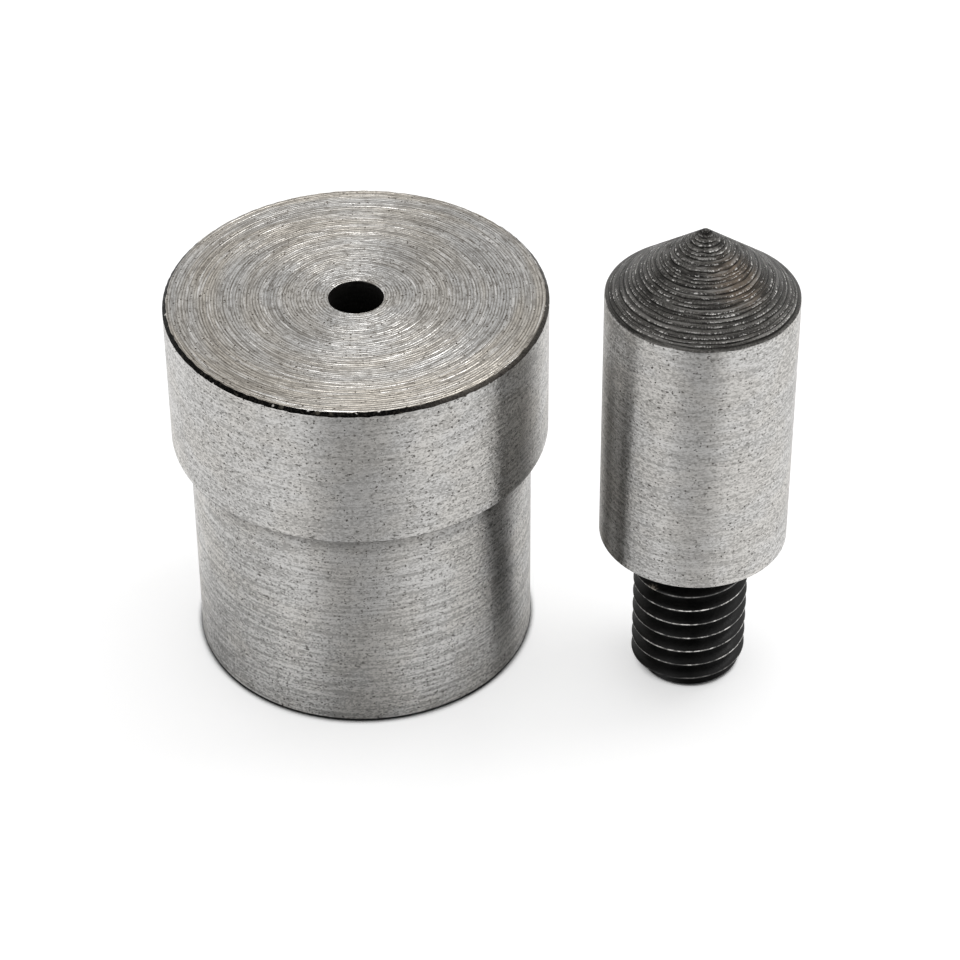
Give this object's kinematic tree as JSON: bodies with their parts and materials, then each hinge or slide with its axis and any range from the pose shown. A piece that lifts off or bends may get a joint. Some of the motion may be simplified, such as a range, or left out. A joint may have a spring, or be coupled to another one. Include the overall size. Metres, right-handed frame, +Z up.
{
  "type": "hole punch die set",
  "caption": "Collared round die with a central hole, and the pointed cylindrical punch that stands beside it on its threaded stud.",
  "frame": {"origin": "on the die's axis, in the plane that the die and the punch stand on", "axes": "+Z up along the die's axis, towards its working face; +X towards the punch's side; the punch stands a little in front, towards -Y"},
  "size_m": [0.0427, 0.0262, 0.0368],
  "materials": {
    "die_steel": "turned",
    "punch_steel": "turned",
    "black_oxide": "black oxide, satin"
  },
  "bodies": {
    "root": {"die": "die_steel", "punch_body": "punch_steel", "threaded_stud": "black_oxide"}
  },
  "joints": []
}
